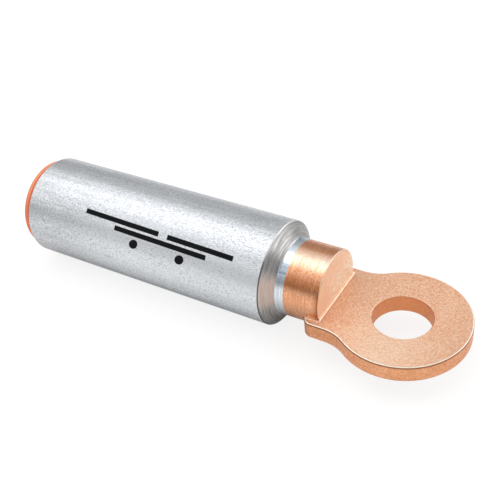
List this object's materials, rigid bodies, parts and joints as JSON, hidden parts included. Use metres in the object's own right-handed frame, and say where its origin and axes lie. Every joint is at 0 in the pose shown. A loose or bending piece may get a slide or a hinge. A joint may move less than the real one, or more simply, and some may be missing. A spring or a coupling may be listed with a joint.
{
  "type": "bimetallic cable lug",
  "caption": "Aluminium crimp barrel friction-welded to a forged copper palm with a bolt hole, its cable bore closed by a push-in plastic plug.",
  "frame": {"origin": "centre of the palm's bolt hole on the contact face, the flat underside of the palm", "axes": "+Z along the bolt hole, away from the contact face; +X towards the palm's tip, with the barrel running towards -X"},
  "size_m": [0.1469, 0.0384, 0.032],
  "materials": {
    "aluminium": "matte, tumbled after turning",
    "copper": null,
    "orange_plastic": "moulded, satin"
  },
  "bodies": {
    "lug": {"barrel": "aluminium", "palm": "copper"},
    "plug": {"end_plug": "orange_plastic"}
  },
  "joints": [
    {"name": "plug_pull", "type": "slide", "parent": "lug", "child": "plug", "axis": [-1, 0, 0], "range_m": [0, 0.06]}
  ]
}
